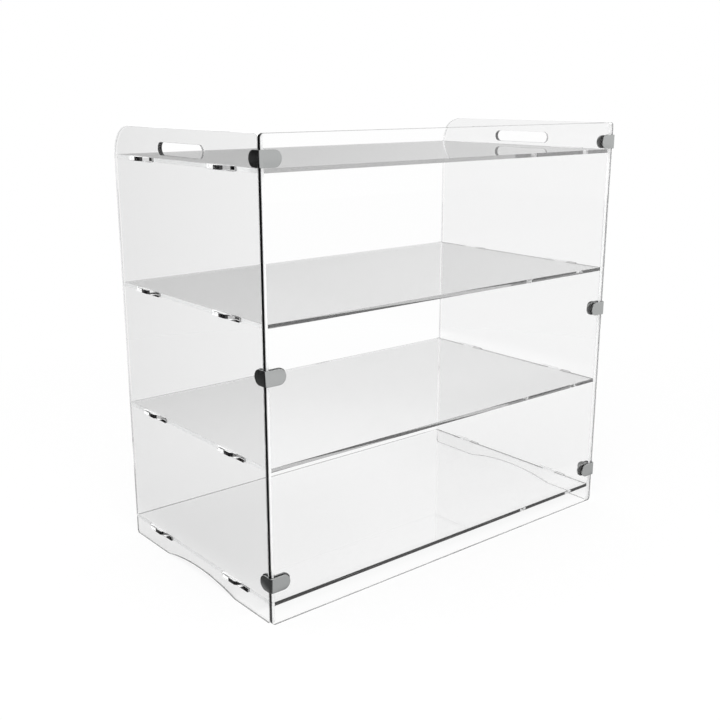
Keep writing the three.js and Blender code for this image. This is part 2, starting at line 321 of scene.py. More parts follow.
@dataclass(frozen=True)
class ClearAcrylic(Finish):
    """Cast acrylic sheet: its polished faces, or its cut edges.

    Light that crosses a sheet loses little, and light that runs along inside one loses most,
    which darkens the edges of clear sheet. A sheet has soft waves or streaks, and is scuffed
    here and there. Some edges are made nearly black and let only a share of the light through:
    that is painted shade, for edges that show dark.
    """

    tint: Triple = (0.999, 0.9995, 0.9995)
    index: float = 1.49
    through: float = 1.0
    loss_per_metre: float = 0.5
    streaks: float | Triple = 7.0
    wave_height: float = 1e-6
    scuff_scale: float = 310.0
    scuffed: Span = (0.62, 0.8)
    dulling: float = 0.995
    haze: float = 0.006
    shade: float = 0.9

    def inputs(self, sheet: NodeSheet) -> dict[str, object]:
        """Tinted glass with waves and scuffs.

        Args:
            sheet: The material's nodes.

        Returns:
            What the Principled node takes.
        """
        marks = sheet.noise(self.streaks)
        scuffs = sheet.noise(self.scuff_scale, FINE_DETAIL).rise(*self.scuffed)
        dulled = tuple(channel * self.dulling for channel in self.tint)
        return {
            "Base Color": sheet.blend(scuffs * marks, self.tint, dulled),
            "Roughness": scuffs * self.haze,
            "IOR": self.index,
            "Transmission Weight": self.through,
            "Normal": sheet.bump(marks, self.wave_height, 1.0),
        }

    def ends(self, sheet: NodeSheet) -> dict[str, object]:
        """The glass, through which lamps shine a little dimmed, and the loss of light inside.

        Args:
            sheet: The material's nodes.

        Returns:
            What the material's output takes.
        """
        glass = super().ends(sheet)["Surface"]
        dimmed = sheet.node("ShaderNodeBsdfTransparent", None, {"Color": (self.shade,) * 3})
        is_shadow = sheet.node("ShaderNodeLightPath").outputs["Is Shadow Ray"]
        mixed = {0: is_shadow, 1: glass, 2: dimmed.outputs[0]}
        surface = sheet.node("ShaderNodeMixShader", None, mixed)
        loss = {"Color": BLACK, "Density": self.loss_per_metre}
        inside = sheet.node("ShaderNodeVolumeAbsorption", None, loss)
        return {"Surface": surface.outputs[0], "Volume": inside.outputs[0]}


@dataclass(frozen=True)
class SawnAcrylic(Finish):
    """Edge of acrylic sheet left as the saw made it: white and satin, with fine saw marks.

    The edge also glows a little: painted light, standing in for light that travels along
    inside the sheet and leaves it there.
    """

    colour: Triple = (0.95, 0.955, 0.955)
    marked: Triple = (0.88, 0.89, 0.89)
    marks: Triple = (900.0, 900.0, 900.0)
    mark_span: Span = (0.45, 0.75)
    mark_depth: float = 3e-5
    dust_scale: float = 2600.0
    roughness: float = 0.5
    dusty_roughness: float = 0.2
    # Painted light: the edge emits a little white, standing in for light that leaves the sheet.
    glow: float = 0.25

    def inputs(self, sheet: NodeSheet) -> dict[str, object]:
        """Satin white with saw marks.

        Args:
            sheet: The material's nodes.

        Returns:
            What the Principled node takes.
        """
        marks = sheet.noise(self.marks, FINE_DETAIL)
        dust = sheet.noise(self.dust_scale)
        return {
            "Base Color": sheet.blend(marks.rise(*self.mark_span), self.colour, self.marked),
            "Roughness": self.roughness + self.dusty_roughness * dust,
            # Painted light: emission on the edge.
            "Emission Color": WHITE,
            "Emission Strength": self.glow,
            "Normal": sheet.bump(marks, self.mark_depth, 1.0),
        }


@dataclass(frozen=True)
class SatinMetal(Finish):
    """Plated metal with a fine grain, a little brighter and smoother where edges have worn."""

    colour: Triple = (0.43, 0.44, 0.437)
    worn: Triple = (0.5, 0.51, 0.505)
    worn_span: Span = (0.5, 0.62)
    grain: float | Triple = (60.0, 60.0, 5200.0)
    grain_height: float = 4e-6
    cloud_scale: float = 140.0
    roughness: float = 0.12
    grain_roughness: float = 0.08
    cloud_roughness: float = 0.05
    worn_smoothness: float = 0.06

    def inputs(self, sheet: NodeSheet) -> dict[str, object]:
        """Grained metal with worn edges.

        Args:
            sheet: The material's nodes.

        Returns:
            What the Principled node takes.
        """
        grain = sheet.noise(self.grain, FINE_DETAIL)
        clouds = sheet.noise(self.cloud_scale)
        edges = sheet.value(sheet.node("ShaderNodeNewGeometry").outputs["Pointiness"])
        wear = edges.rise(*self.worn_span) * clouds
        rough = self.roughness + self.grain_roughness * grain + self.cloud_roughness * clouds
        return {
            "Base Color": sheet.blend(wear, self.colour, self.worn),
            "Metallic": 1.0,
            "Roughness": rough - self.worn_smoothness * wear,
            "Normal": sheet.bump(grain, self.grain_height, 1.0),
        }


@dataclass(frozen=True)
class SoftPad(Finish):
    """Dark moulded rubber with a fine pebbled skin."""

    colour: Triple = (0.022, 0.022, 0.023)
    dusty: Triple = (0.05, 0.05, 0.05)
    dust_span: Span = (0.45, 0.75)
    dust_scale: float = 220.0
    pebble_scale: float = 3800.0
    pebble_height: float = 2e-5
    roughness: float = 0.62
    pebble_roughness: float = 0.2

    def inputs(self, sheet: NodeSheet) -> dict[str, object]:
        """Pebbled rubber, dusty here and there.

        Args:
            sheet: The material's nodes.

        Returns:
            What the Principled node takes.
        """
        pebbles = sheet.noise(self.pebble_scale)
        dust = sheet.noise(self.dust_scale).rise(*self.dust_span)
        return {
            "Base Color": sheet.blend(dust, self.colour, self.dusty),
            "Roughness": self.roughness + self.pebble_roughness * pebbles,
            "Normal": sheet.bump(pebbles, self.pebble_height, 1.0),
        }


@dataclass(frozen=True)
class Finishes:
    """Every material of the cabinet."""

    panel_face: bpy.types.Material
    panel_edge: bpy.types.Material
    front_edge: bpy.types.Material
    panel_sawn: bpy.types.Material
    # Painted shade, for edges that show dark.
    dark_edge: bpy.types.Material
    shelf_face: bpy.types.Material
    shelf_edge: bpy.types.Material
    shelf_sawn: bpy.types.Material
    clamp_metal: bpy.types.Material
    screw_steel: bpy.types.Material
    pad_rubber: bpy.types.Material

    @classmethod
    def make(cls) -> "Finishes":
        """Makes them all. An edge's streaks run straight through the thickness of its sheet.

        Returns:
            The finishes.
        """
        edge = {"haze": 0.012, "wave_height": 1e-7}
        fine, saw, coarse = 900.0, 2400.0, 90.0
        # A nearly black tint that lets little light through: painted shade for edges that show
        # dark.
        dark = {"tint": (0.008, 0.008, 0.0084), "through": 0.4, "streaks": fine, **edge}
        steel = {"colour": (0.5, 0.505, 0.51), "roughness": 0.26, "grain": 2400.0}
        return cls(
            panel_face=ClearAcrylic("panel_acrylic_face").material(),
            panel_edge=ClearAcrylic("side_edge", streaks=(0.0, fine, fine), **edge).material(),
            front_edge=ClearAcrylic("front_edge", streaks=(fine, 0.0, fine), **edge).material(),
            # The panels' sawn edges get more painted glow.
            panel_sawn=SawnAcrylic(
                "panel_sawn_edge", marks=(coarse, coarse, saw), glow=0.36
            ).material(),
            dark_edge=ClearAcrylic("dark_edge", **dark).material(),
            shelf_face=ClearAcrylic("shelf_acrylic_face").material(),
            shelf_edge=ClearAcrylic("shelf_edge", streaks=(fine, fine, 0.0), **edge).material(),
            shelf_sawn=SawnAcrylic("shelf_sawn_edge", marks=(saw, saw, coarse)).material(),
            clamp_metal=SatinMetal("clamp_metal").material(),
            screw_steel=SatinMetal("screw_steel", **steel).material(),
            pad_rubber=SoftPad("pad_rubber").material(),
        )


# Surfaces


def grid_faces(rows: int, columns: int, wrap: bool = False) -> np.ndarray:
    """Finds the faces of a grid of points.

    Args:
        rows: How many rows of points it has.
        columns: How many points there are in a row.
        wrap: True if the last column joins the first.

    Returns:
        The numbers of each face's four corners.
    """
    index = np.arange(rows * columns).reshape(rows, columns)
    if wrap:
        index = np.hstack([index, index[:, :1]])
    quads = np.stack([index[:-1, :-1], index[:-1, 1:], index[1:, 1:], index[1:, :-1]], axis=-1)
    return quads.reshape(-1, 4)


@dataclass
class Shell:
    """A closed surface put together from patches that share the points along their seams."""

    points: list[np.ndarray] = field(default_factory=list)
    faces: list[np.ndarray] = field(default_factory=list)
    patches: list[np.ndarray] = field(default_factory=list)

    # The size of a weld's cells in metres, their shift in cells, and the least angle of a crease.
    WELD = 1e-6
    SHIFT = 0.27
    CREASE = math.radians(28)

    def add(self, points: np.ndarray, faces: np.ndarray, patch: Patch) -> None:
        """Adds a patch.

        Args:
            points: Its points, in millimetres.
            faces: Its faces, of four corners each. A triangle repeats its last corner.
            patch: The finish that it takes.
        """
        start = sum(len(each) for each in self.points)
        self.points.append(points.reshape(-1, 3) * MM)
        self.faces.append(faces + start)
        self.patches.append(np.full(len(faces), patch.value))

    def grid(self, surface: np.ndarray, wrap: bool, patch: Patch) -> None:
        """Adds a surface given as rows and columns of points.

        Args:
            surface: Array of rows, columns and coordinates.
            wrap: True if the last column joins the first.
            patch: The finish that it takes.
        """
        self.add(surface, grid_faces(*surface.shape[:2], wrap), patch)

    def flat(
        self,
        loops: Sequence[np.ndarray],
        place: Callable[[np.ndarray], np.ndarray],
        patch: Patch,
    ) -> None:
        """Adds a flat face with holes.

        Args:
            loops: The outline, then the holes, as arrays of two coordinates.
            place: Carries such an array into the cabinet's own space.
            patch: The finish that it takes.
        """
        rings = [np.pad(loop, ((0, 0), (0, 1))).tolist() for loop in loops]
        corners = np.array(tessellate_polygon(rings))
        triangles = np.concatenate([corners, corners[:, 2:]], axis=1)
        self.add(place(np.concatenate(loops)), triangles, patch)

    def build(self, name: str, finishes: Sequence[bpy.types.Material]) -> bpy.types.Object:
        """Welds the patches into one closed mesh and makes its object.

        Points that share a cell of a micrometre become one, and the cells are shifted, so that
        round numbers stay off their borders. A face that loses a corner to that becomes a
        triangle, and one that loses two goes.

        Args:
            name: The object's name.
            finishes: Its materials, in the order of Patch.

        Returns:
            The object, smooth over its curves and sharp at its creases.
        """
        points = np.concatenate(self.points)
        cells = np.round(points / self.WELD + self.SHIFT).astype(np.int64)
        _, first, merged = np.unique(cells, axis=0, return_index=True, return_inverse=True)
        corners = merged.reshape(-1)[np.concatenate(self.faces)]
        patches = np.concatenate(self.patches)
        same = corners == np.roll(corners, -1, axis=1)
        whole, cut = same.sum(axis=1) == 0, same.sum(axis=1) == 1
        kept = (np.argmax(same[cut], axis=1)[:, None] + np.arange(1, 4)) % 4
        triangles = np.take_along_axis(corners[cut], kept, axis=1)
        mesh = bpy.data.meshes.new(name)
        mesh.from_pydata(points[first].tolist(), [], corners[whole].tolist() + triangles.tolist())
        finish = np.concatenate([patches[whole], patches[cut]]).astype(np.int32)
        mesh.polygons.foreach_set("material_index", finish)
        for material in finishes:
            mesh.materials.append(material)
        self._turn_outwards(mesh)
        mesh.polygons.foreach_set("use_smooth", np.ones(len(mesh.polygons), bool))
        mesh.set_sharp_from_angle(angle=self.CREASE)
        made = bpy.data.objects.new(name, mesh)
        bpy.context.scene.collection.objects.link(made)
        return made

    @staticmethod
    def _turn_outwards(mesh: bpy.types.Mesh) -> None:
        """Points every face outwards.

        Args:
            mesh: The mesh.

        Raises:
            ValueError: The surface isn't closed.
        """
        work = bmesh.new()
        work.from_mesh(mesh)
        if any(len(edge.link_faces) != 2 for edge in work.edges):
            raise ValueError(f"{mesh.name} isn't closed")
        bmesh.ops.recalc_face_normals(work, faces=work.faces)
        if work.calc_volume(signed=True) < 0:
            bmesh.ops.reverse_faces(work, faces=work.faces)
        work.to_mesh(mesh)
        work.free()


def rounded_outline(corners: np.ndarray, steps: int = CORNER_STEPS) -> np.ndarray:
    """Closed outline whose corners are arcs.

    An arc's centre lies on the line that halves its corner, at the radius over the sine of half
    the corner's angle, and the arc starts at the radius over the tangent along the side before.

    Args:
        corners: Rows of x, y and radius. A radius with no room is made as large as fits.
        steps: Straight steps in each arc.

    Returns:
        Rows of x and y.
    """
    here, wanted = corners[:, :2], corners[:, 2]
    before, after = np.roll(here, 1, axis=0) - here, np.roll(here, -1, axis=0) - here
    reach = np.linalg.norm(before, axis=1), np.linalg.norm(after, axis=1)
    before, after = before / reach[0][:, None], after / reach[1][:, None]
    half = np.arccos(np.clip((before * after).sum(axis=1), -1, 1)) / 2
    radius = np.minimum(wanted, np.minimum(*reach) / 2 * np.tan(half))
    middle = before + after
    middle = middle / np.maximum(np.linalg.norm(middle, axis=1), TINY)[:, None]
    centre = here + middle * (radius / np.sin(half))[:, None]
    start = here + before * (radius / np.tan(half))[:, None] - centre
    way = np.sign(after[:, 0] * before[:, 1] - after[:, 1] * before[:, 0])
    turn = (way * (math.pi - 2 * half))[:, None] * np.linspace(0, 1, steps + 1)
    x = start[:, :1] * np.cos(turn) - start[:, 1:] * np.sin(turn)
    y = start[:, :1] * np.sin(turn) + start[:, 1:] * np.cos(turn)
    points = (centre[:, None] + np.stack([x, y], axis=-1)).reshape(-1, 2)
    gap = np.linalg.norm(points - np.roll(points, 1, axis=0), axis=1)
    return points[gap > SHORTEST_STEP]


def rounded_box(low: Sequence[float], high: Sequence[float], radius: float) -> np.ndarray:
    """Outline of an upright rectangle with rounded corners, between two opposite corners."""
    x, y = (low[0], high[0], high[0], low[0]), (low[1], low[1], high[1], high[1])
    return rounded_outline(np.stack([x, y, np.full(len(x), radius)], axis=1), END_STEPS)


def circle(centre: Sequence[float], radius: float, sides: int = CIRCLE_SIDES) -> np.ndarray:
    """Points evenly round a circle."""
    angle = np.arange(sides) * 2 * math.pi / sides
    return np.array(centre) + radius * np.stack([np.cos(angle), np.sin(angle)], axis=1)


def turned(loop: np.ndarray, anticlockwise: bool) -> np.ndarray:
    """Puts a loop in the order asked for, by the sign of its area: half the sum of x dy - y dx.

    Args:
        loop: Rows of x and y.
        anticlockwise: The order.

    Returns:
        The loop, or its reverse.
    """
    after = np.roll(loop, -1, axis=0)
    area = (loop[:, 0] * after[:, 1] - loop[:, 1] * after[:, 0]).sum()
    return loop if (area > 0) == anticlockwise else loop[::-1]


def moved_left(loop: np.ndarray, distance: float) -> np.ndarray:
    """Moves a loop to the left of its own direction.

    A corner moves along its mitre: the sum of the two sides' normals, over 1 plus their product.

    Args:
        loop: Rows of x and y.
        distance: How far its sides move.

    Returns:
        The moved loop.
    """
    along = np.roll(loop, -1, axis=0) - loop
    along = along / np.linalg.norm(along, axis=1)[:, None]
    left = np.stack([-along[:, 1], along[:, 0]], axis=1)
    last = np.roll(left, 1, axis=0)
    mitre = (left + last) / (1 + (left * last).sum(axis=1))[:, None]
    return loop + distance * mitre


@dataclass(frozen=True)
class SheetPlane:
    """Where a flat sheet lies: a corner, its two directions, and its way through the sheet."""

    corner: Triple
    across: Triple
    up: Triple
    through: Triple

    def place(self, flat: np.ndarray, depth: float) -> np.ndarray:
        """Points of the sheet's drawing, at a depth below its first face, in the cabinet."""
        axes = np.array([self.across, self.up, self.through])
        return np.array(self.corner) + np.pad(flat, ((0, 0), (0, 1)), constant_values=depth) @ axes


@dataclass(frozen=True)
class CutSheet:
    """A sheet cut to an outline with holes, with the corners of its edges broken.

    The patch of each stretch of edge is chosen by the middle of its stretch of outline.
    """

    outline: np.ndarray
    holes: tuple[np.ndarray, ...]
    thickness: float
    edge: Callable[[np.ndarray], np.ndarray]
    break_size: float

    def shell(self, plane: SheetPlane) -> Shell:
        """Makes two flat faces, and along every loop a wall that carries the edge's profile.

        The wall's middle row of faces is the edge itself. The broken corners beside it are clear.

        Args:
            plane: Where the sheet lies.

        Returns:
            The closed surface.
        """
        loops = [turned(self.outline, True), *(turned(hole, False) for hole in self.holes)]
        size, end = self.break_size, self.thickness
        profile = ((size, 0.0), (0.0, size), (0.0, end - size), (size, end))
        made = Shell()
        for loop in loops:
            rows = [plane.place(moved_left(loop, inset), depth) for inset, depth in profile]
            made.grid(np.stack(rows), True, Patch.EDGE)
            wall = made.patches[-1].reshape(len(profile) - 1, -1)[1]
            wall[:] = self.edge((loop + np.roll(loop, -1, axis=0)) / 2)
        inner = [moved_left(loop, size) for loop in loops]
        for depth in (0.0, end):
            made.flat(inner, lambda flat, depth=depth: plane.place(flat, depth), Patch.FACE)
        return made


# Acrylic sheets


@dataclass(frozen=True)
class SidePanel:
    """A side panel: hand slot above, eight slots, three boss holes, feet with an arch."""

    side: Side
    foot_corner: float = 4.0
    rear_top_corner: float = 40.0
    corner_steps: int = 24
    front_foot: float = 77.7
    rear_foot: float = 89.3
    arch_rise: float = 10.0
    arch_ease: float = 20.0
    arch_steps: int = 56
    hand_slot: Span = (104.0, 15.6)
    hand_slot_drop: float = 24.7
    slot_height: float = 5.6
    slot_corner: float = 1.0
    slot_open: float = 18.0
    edge_break: float = 0.25

    @property
    def hand_slot_place(self) -> tuple[np.ndarray, np.ndarray]:
        """The hand slot's middle, and half its size."""
        middle = np.array([DEPTH / 2, HEIGHT - self.hand_slot_drop])
        return middle, np.array(self.hand_slot) / 2

    def arch(self) -> np.ndarray:
        """Finds corners along the arch between the feet.

        It is an arc through both feet's ends and a point above their middle. Its radius is half
        the chord squared plus the rise squared, over twice the rise.

        Returns:
            Rows of y, z and corner radius.
        """
        front, rear = SIDE_PANEL_FRONT + self.front_foot, DEPTH - self.rear_foot
        chord, rise = (rear - front) / 2, self.arch_rise
        radius = (chord**2 + rise**2) / (2 * rise)
        angle = np.linspace(-1, 1, self.arch_steps + 1) * math.asin(chord / radius)
        y = (front + rear) / 2 + radius * np.sin(angle)
        z = rise - radius * (1 - np.cos(angle))
        ease = np.zeros(len(angle))
        ease[[0, -1]] = self.arch_ease
        return np.stack([y, z, ease], axis=1)

    def slot(self, front: float, middle: float) -> np.ndarray:
        """Draws one slot, with points where its walls pass the front of the shelf's tab.

        Args:
            front: Where it starts.
            middle: Height of its middle.

        Returns:
            Rows of y and z.
        """
        half, corner = self.slot_height / 2, self.slot_corner
        part, rear = front + self.slot_open, front + SLOT_LENGTH
        y = (front, part, rear, rear, part, front)
        z = np.array((-half, -half, -half, half, half, half)) + middle
        radius = (corner, 0.0, corner, corner, 0.0, corner)
        return rounded_outline(np.stack([y, z, radius], axis=1))

    def drawing(self) -> CutSheet:
        """Draws the panel, with its depth to the right and its height up.

        Returns:
            The panel's cut.
        """
        corners = [
            [[SIDE_PANEL_FRONT, 0.0, self.foot_corner]],
            self.arch(),
            [[DEPTH, 0.0, self.foot_corner]],
            [[DEPTH, HEIGHT, self.rear_top_corner]],
            [[SIDE_PANEL_FRONT, HEIGHT, self.foot_corner]],
        ]
        outline = rounded_outline(np.concatenate(corners), self.corner_steps)
        middle, half = self.hand_slot_place
        holes = [rounded_box(middle - half, middle + half, half[1])]
        for top in SHELF_TOPS.values():
            holes += [self.slot(front, top - SHELF_SHEET / 2) for front in SLOT_FRONTS]
        holes += [circle((SIDE_BOSS, z), BOSS_HOLE_RADIUS) for z in CLAMP_LEVELS.values()]
        return CutSheet(outline, tuple(holes), PANEL_SHEET, self.edge_patches, self.edge_break)

    def edge_patches(self, places: np.ndarray) -> np.ndarray:
        """Chooses the finish of each stretch of edge.

        Edges take painted shade below, at the hand slot's ends and in the open part of each slot,
        are clear behind and in the rest of the hand slot and the round holes, and sawn elsewhere.

        Args:
            places: Middles of the stretches, as rows of y and z.

        Returns:
            The numbers of their patches.
        """
        y, z = places.T
        middle, half = self.hand_slot_place
        off = np.abs(places - middle)
        in_hand_slot = (off < half + NEAR).all(axis=1)
        at_end = in_hand_slot & (off[:, 0] > half[0] - half[1])
        reach = BOSS_HOLE_RADIUS + NEAR
        bosses = [np.hypot(y - SIDE_BOSS, z - level) < reach for level in CLAMP_LEVELS.values()]
        open_parts = [(y > front - NEAR) & (y < front + self.slot_open) for front in SLOT_FRONTS]
        reach = self.slot_height / 2 + NEAR
        levels = [np.abs(z - top + SHELF_SHEET / 2) < reach for top in SHELF_TOPS.values()]
        opened = np.any(open_parts, axis=0) & np.any(levels, axis=0)
        below = (z < self.arch_rise + NEAR) & (y > SIDE_PANEL_FRONT + NEAR)
        clear = in_hand_slot | np.any(bosses, axis=0) | (y > DEPTH - NEAR)
        # Painted shade on these edges.
        dark = at_end | opened | below
        return np.select([dark, clear], [Patch.DARK.value, Patch.EDGE.value], Patch.SAWN.value)

    def build(self, finishes: Finishes) -> bpy.types.Object:
        """Makes the panel in place of its CAD node.

        Args:
            finishes: The cabinet's materials.

        Returns:
            The panel.
        """
        sign = float(self.side.value)
        corner = (sign * WIDTH / 2, FRONT_FACE_Y, 0.0)
        plane = SheetPlane(corner, (0.0, 1.0, 0.0), (0.0, 0.0, 1.0), (-sign, 0.0, 0.0))
        name = f"side_panel_{self.side.word}"
        shell = self.drawing().shell(plane)
        finish = [finishes.panel_face, finishes.panel_edge, finishes.panel_sawn, finishes.dark_edge]
        made = shell.build(f"acrylic_{name}", finish)
        return stand_for(made, (name,), "cabinet")


@dataclass(frozen=True)
class FrontPanel:
    """The front panel: a rectangle with rounded corners and six boss holes."""

    corner: float = 5.0
    edge_break: float = 0.45

    def drawing(self) -> CutSheet:
        """Draws the panel, with its width to the right and its height up.

        Returns:
            The panel's cut.
        """
        outline = rounded_box((-WIDTH / 2, 0.0), (WIDTH / 2, HEIGHT), self.corner)
        places = [(WIDTH / 2 - FRONT_BOSS) * side.value for side in Side]
        holes = [circle((x, z), BOSS_HOLE_RADIUS) for z in CLAMP_LEVELS.values() for x in places]
        return CutSheet(outline, tuple(holes), PANEL_SHEET, self.edge_patches, self.edge_break)

    def edge_patches(self, places: np.ndarray) -> np.ndarray:
        """Chooses the finish of each stretch of edge.

        Edges take painted shade below, along both upright ends and round the corners, and are
        clear elsewhere.

        Args:
            places: Middles of the stretches, as rows of x and z.

        Returns:
            The numbers of their patches.
        """
        at_end = np.abs(places[:, 0]) > WIDTH / 2 - self.corner
        below = places[:, 1] < self.corner
        # Painted shade on the ends and the bottom.
        return np.where(at_end | below, Patch.DARK.value, Patch.EDGE.value)

    def build(self, finishes: Finishes) -> bpy.types.Object:
        """Makes the panel in place of its CAD node.

        Args:
            finishes: The cabinet's materials.

        Returns:
            The panel.
        """
        corner = (0.0, FRONT_FACE_Y, 0.0)
        plane = SheetPlane(corner, (1.0, 0.0, 0.0), (0.0, 0.0, 1.0), (0.0, 1.0, 0.0))
        shell = self.drawing().shell(plane)
        finish = [finishes.panel_face, finishes.front_edge, finishes.panel_sawn, finishes.dark_edge]
        made = shell.build("acrylic_front_panel", finish)
        return stand_for(made, ("front_panel",), "cabinet")


@dataclass(frozen=True)
class Shelf:
    """A shelf with two hooked tabs on each side.

    A tab's neck goes through its slot, with a slanting front, and its tip reaches back along the
    panel's outer face. Distances along a tab are from the front of its slot.
    """

    name: str
    neck_front: float = 18.0
    tip_front: float = 27.5
    neck_rear: float = 42.0
    tip_rear: float = 55.0
    tip_reach: float = 2.6
    tip_gap: float = 0.4
    nose: float = 3.0
    tip_corner: float = 1.2
    root: float = 0.4
    edge_break: float = 0.05

    @property
    def side_x(self) -> float:
        """Where the right side of the shelf lies, just inside the panel."""
        return WIDTH / 2 - PANEL_SHEET - SHEET_GAP

    @property
    def tip_x(self) -> float:
        """Where the tips of the right tabs end, outside the panel."""
        return WIDTH / 2 + self.tip_reach

    def drawing(self) -> CutSheet:
        """Draws the shelf, with its width to the right and its depth up.

        Returns:
            The shelf's cut.
        """
        edge, tip, inside = self.side_x, self.tip_x, WIDTH / 2 + self.tip_gap
        rows = [(edge, SIDE_PANEL_FRONT, 0.0)]
        for slot in SLOT_FRONTS:
            neck, rear = slot + self.neck_front, slot + self.neck_rear
            rows += [(edge, slot, 0.0), (edge, neck, self.root)]
            rows += [(tip - self.nose, slot + self.tip_front - self.nose, 0.0)]
            rows += [(tip, slot + self.tip_front, self.nose)]
            rows += [(tip, slot + self.tip_rear, self.tip_corner)]
            rows += [(inside, slot + self.tip_rear, self.tip_corner)]
            rows += [(inside, rear, self.root), (edge, rear, self.root)]
        right = np.array([*rows, (edge, DEPTH, 0.0)])
        left = right[::-1] * (-1.0, 1.0, 1.0)
        outline = rounded_outline(np.concatenate([right, left]))
        return CutSheet(outline, (), SHELF_SHEET, self.edge_patches, self.edge_break)

    def edge_patches(self, places: np.ndarray) -> np.ndarray:
        """Chooses the finish of each stretch of edge.

        Edges are sawn along the left side, take painted shade along the right one, in front of each
        tab and round its nose, and are clear elsewhere.

        Args:
            places: Middles of the stretches, as rows of x and y.

        Returns:
            The numbers of their patches.
        """
        x, y = np.abs(places[:, 0]), places[:, 1]
        along = [y - slot for slot in SLOT_FRONTS]
        before = np.any([(off > 0) & (off < self.neck_front) for off in along], axis=0)
        nose = np.any([abs(off - self.tip_front) < self.nose for off in along], axis=0)
        side = np.abs(x - self.side_x) < ON_LINE
        left = side & (places[:, 0] < 0)
        # Painted shade on these edges.
        dark = (side & (before | ~left)) | (nose & (x > self.tip_x - self.nose))
        return np.select([dark, left], [Patch.DARK.value, Patch.SAWN.value], Patch.EDGE.value)

    def build(self, finishes: Finishes) -> bpy.types.Object:
        """Makes the shelf in place of its CAD node.

        Args:
            finishes: The cabinet's materials.

        Returns:
            The shelf.
        """
        corner = (0.0, FRONT_FACE_Y, SHELF_TOPS[self.name])
        plane = SheetPlane(corner, (1.0, 0.0, 0.0), (0.0, 1.0, 0.0), (0.0, 0.0, -1.0))
        shell = self.drawing().shell(plane)
        finish = [finishes.shelf_face, finishes.shelf_edge, finishes.shelf_sawn, finishes.dark_edge]
        made = shell.build(f"acrylic_{self.name}_shelf", finish)
        return stand_for(made, (f"shelf_{self.name}",), f"{self.name}_shelf")


# Corner clamps


# The squareness of a bend that is part of a circle.
ROUND = 2.0


@dataclass(frozen=True)
class Layer:
    """One face of a bent strap, outside the panels' faces where negative.

    Round the corner its distance from the bend's centre follows a curve that is a circle for a
    squareness of 2, and nearly a square corner for a large one.
    """

    face: float
    squareness: float = ROUND


@dataclass(frozen=True)
class Bore:
    """A round hole or boss on a strap's leg: how far along, and rows of radius and depth."""

    along: float
    rows: tuple[Span, ...]
    through: bool


